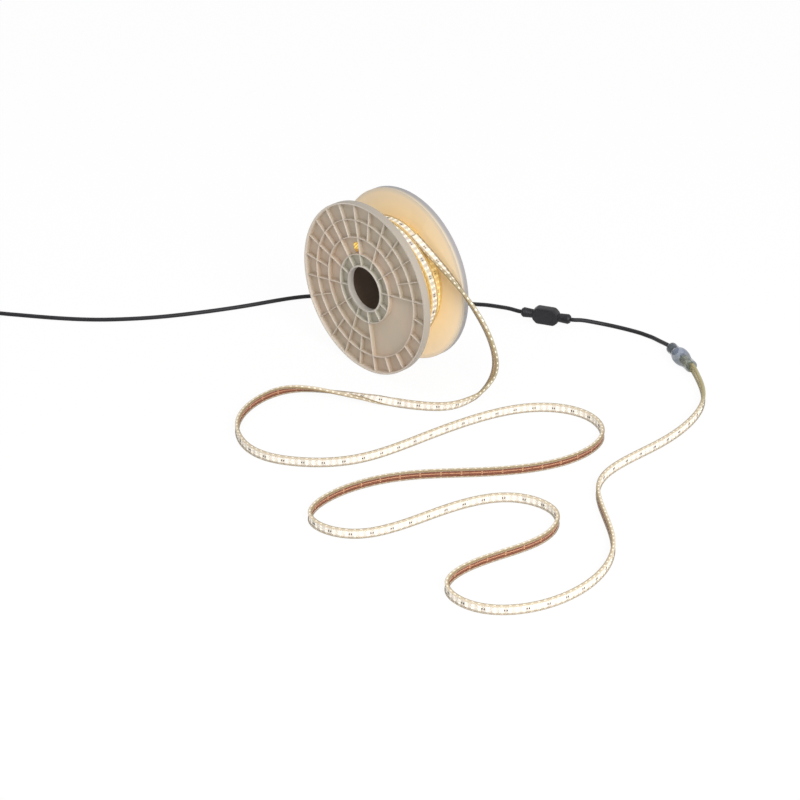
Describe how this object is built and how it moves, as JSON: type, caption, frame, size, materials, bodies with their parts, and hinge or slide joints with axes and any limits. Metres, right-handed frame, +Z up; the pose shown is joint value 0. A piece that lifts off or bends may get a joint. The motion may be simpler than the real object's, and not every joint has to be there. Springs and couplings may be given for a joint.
{
  "type": "led rope light reel",
  "caption": "Spool with two ribbed plastic flanges holding a wound flat light strip, whose free end runs to a clear connector, a feed cord, a rectifier box and a mains lead with plug.",
  "frame": {"origin": "on the floor under the middle of the spool", "axes": "+Y along the spool's axis from the ribbed front flange to the rear flange, +Z up"},
  "size_m": [1.5154, 0.9544, 0.31],
  "materials": {
    "flange": "moulded, satin",
    "drum": "moulded, satin",
    "strip": "clear soft sheath over lit strip",
    "clear": "clear sheath",
    "connector": "clear, smoky",
    "pin_holder": "satin",
    "brass_pins": "bright",
    "cord": "satin black",
    "black_box": "satin black",
    "circuit_board": "lacquered",
    "capacitor": "sleeve",
    "fuse_glass": "clear",
    "plug_pins": "nickel plated"
  },
  "bodies": {
    "root": {"front_flange": "flange", "rear_flange": "flange", "winding_drum": "drum", "wound_strip": "strip", "led_strip": "strip", "strip_tail": "strip", "tail_end_cap": "clear", "connector_shell": "connector", "connector_strip_seal": "clear", "connector_pin_holder": "pin_holder", "connector_pin_upper": "brass_pins", "connector_pin_lower": "brass_pins", "connector_cord_gland": "cord", "feed_cord": "cord", "strain_relief_feed": "cord", "rectifier_rear_shell": "black_box", "rectifier_front_shell": "black_box", "rectifier_board": "circuit_board", "bridge_rectifier": "black_box", "filter_capacitor": "capacitor", "fuse": "fuse_glass", "strain_relief_mains": "cord", "mains_cord": "cord", "mains_cord_coil": "cord", "coil_tie": "cord", "mains_cord_tail": "cord", "plug_relief": "cord", "plug_body": "black_box", "plug_pin_left": "plug_pins", "plug_pin_right": "plug_pins"}
  },
  "joints": []
}
